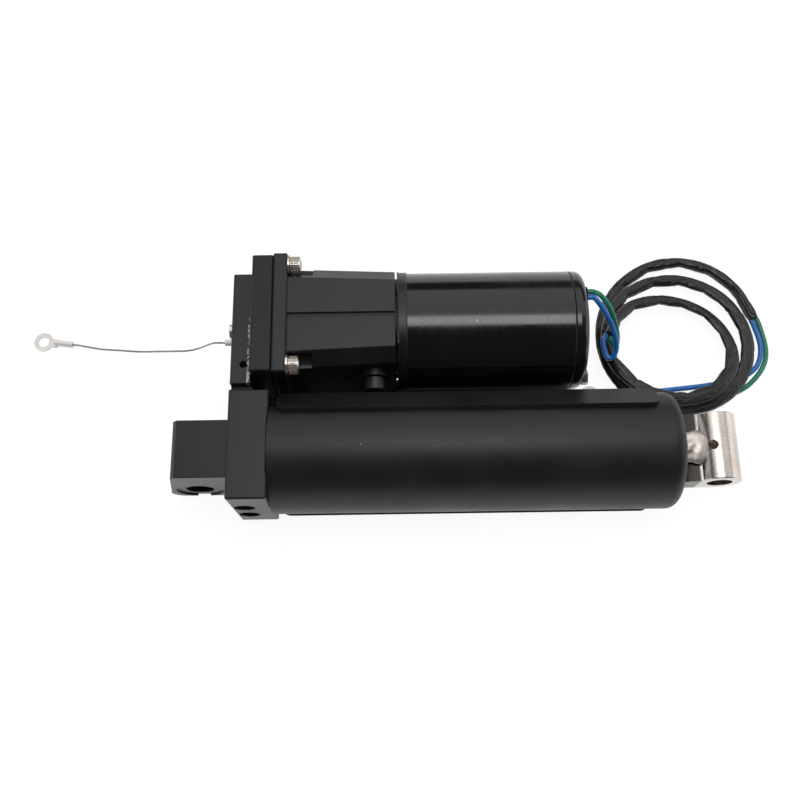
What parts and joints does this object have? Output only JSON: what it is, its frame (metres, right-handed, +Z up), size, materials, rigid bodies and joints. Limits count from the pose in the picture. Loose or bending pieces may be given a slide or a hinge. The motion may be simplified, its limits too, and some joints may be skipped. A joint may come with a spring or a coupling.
{
  "type": "power trim and tilt unit",
  "caption": "Boat trim and tilt unit: a hydraulic ram with a pivot lug beside its pump, oil reservoir and electric motor, with coiled leads.",
  "frame": {"origin": "centre of the lower pivot bore in the manifold's lug", "axes": "+X along the ram, from the pivot lug towards the rod eye; +Y along the pivot bores, from the ram towards the motor; +Z up, as the unit lies"},
  "size_m": [0.4589, 0.1676, 0.072],
  "materials": {
    "block_paint": "satin black paint on cast aluminium",
    "tube_paint": "satin black paint on aluminium tube",
    "motor_paint": "gloss black paint on steel",
    "rubber": "matt",
    "chromed_steel": "hard chrome, polished",
    "bare_steel": "satin",
    "zinc_steel": "bright zinc plate",
    "spring_steel": "drawn",
    "black_steel": "black oxide",
    "bare_aluminium": "machined",
    "ground_steel": "ground",
    "bronze": "machined",
    "copper": "bare",
    "enamelled_copper": "varnished",
    "carbon": "matt",
    "ferrite": "matt",
    "phenolic": "matt",
    "core_steel": "stacked sheet",
    "black_plastic": "satin",
    "blue_wire": "satin",
    "green_wire": "satin",
    "sleeve": "satin, wrinkled",
    "tinned_copper": "tinned"
  },
  "bodies": {
    "unit": {"manifold": "block_paint", "cylinder_tube": "tube_paint", "tube_seals": "rubber", "gland": "bare_aluminium", "rod_seal": "rubber", "rod_wiper": "rubber", "pump_body": "block_paint", "pump_cover": "bare_aluminium", "pump_screws": "black_steel", "valve_seats": "bronze", "valve_balls": "ground_steel", "valve_springs": "spring_steel", "bore_plugs": "zinc_steel", "release_clip": "spring_steel", "port_plug": "black_steel", "reservoir": "block_paint", "reservoir_seal": "rubber", "flange_screws": "zinc_steel", "flange_washers": "zinc_steel", "fill_plug": "black_plastic", "shaft_seal": "rubber", "front_bearing": "ground_steel", "motor_can": "motor_paint", "motor_magnets": "ferrite", "brush_holder": "phenolic", "brushes": "carbon", "brush_springs": "spring_steel", "rear_bushing": "bronze", "motor_end_cap": "motor_paint", "motor_bolts": "zinc_steel", "wire_grommet": "rubber", "blue_lead": "blue_wire", "green_lead": "green_wire", "harness_coil": "sleeve", "blue_tail": "blue_wire", "green_tail": "green_wire", "wire_terminals": "tinned_copper", "bond_screw": "zinc_steel", "bond_terminal": "tinned_copper", "bond_wire": "tinned_copper", "ring_terminal": "tinned_copper"},
    "ram_ring": {"piston_ring": "black_plastic"},
    "ram": {"piston": "bare_aluminium", "piston_nut": "zinc_steel", "shock_balls": "ground_steel", "shock_springs": "spring_steel", "rod": "chromed_steel", "rod_eye": "bare_steel", "weld_bead": "bare_steel"},
    "memory": {"memory_piston": "bare_aluminium", "memory_seal": "rubber"},
    "rotor": {"armature_core": "core_steel", "armature_windings": "enamelled_copper", "motor_shaft": "ground_steel", "commutator": "copper", "drive_coupling": "black_steel", "drive_gear": "ground_steel"},
    "idler": {"driven_gear": "ground_steel"},
    "spool": {"shuttle_spool": "ground_steel"},
    "release": {"release_valve": "zinc_steel"}
  },
  "joints": [
    {"name": "ram_slide", "type": "slide", "parent": "unit", "child": "ram_ring", "axis": [1, 0, 0], "range_m": [0, 0.147]},
    {"name": "ram_turn", "type": "hinge", "parent": "ram_ring", "child": "ram", "pos_m": [0, 0, 0.015], "axis": [1, 0, 0], "continuous": true},
    {"name": "memory_slide", "type": "slide", "parent": "unit", "child": "memory", "axis": [1, 0, 0], "range_m": [0, 0.147]},
    {"name": "rotor_spin", "type": "hinge", "parent": "unit", "child": "rotor", "pos_m": [0, 0.0734, 0.0164], "axis": [1, 0, 0], "continuous": true},
    {"name": "idler_spin", "type": "hinge", "parent": "unit", "child": "idler", "pos_m": [0, 0.0734, 0.0013], "axis": [1, 0, 0], "continuous": true},
    {"name": "spool_shift", "type": "slide", "parent": "unit", "child": "spool", "axis": [0, 1, 0], "range_m": [-0.0015, 0.0015]},
    {"name": "release_turn", "type": "hinge", "parent": "unit", "child": "release", "pos_m": [0.0292, 0, 0.0195], "axis": [0, -1, 0], "range_deg": [0, 1080]}
  ],
  "couplings": [
    {"joint": "memory_slide", "follows": "ram_slide", "ratio": 1},
    {"joint": "idler_spin", "follows": "rotor_spin", "ratio": -1}
  ]
}
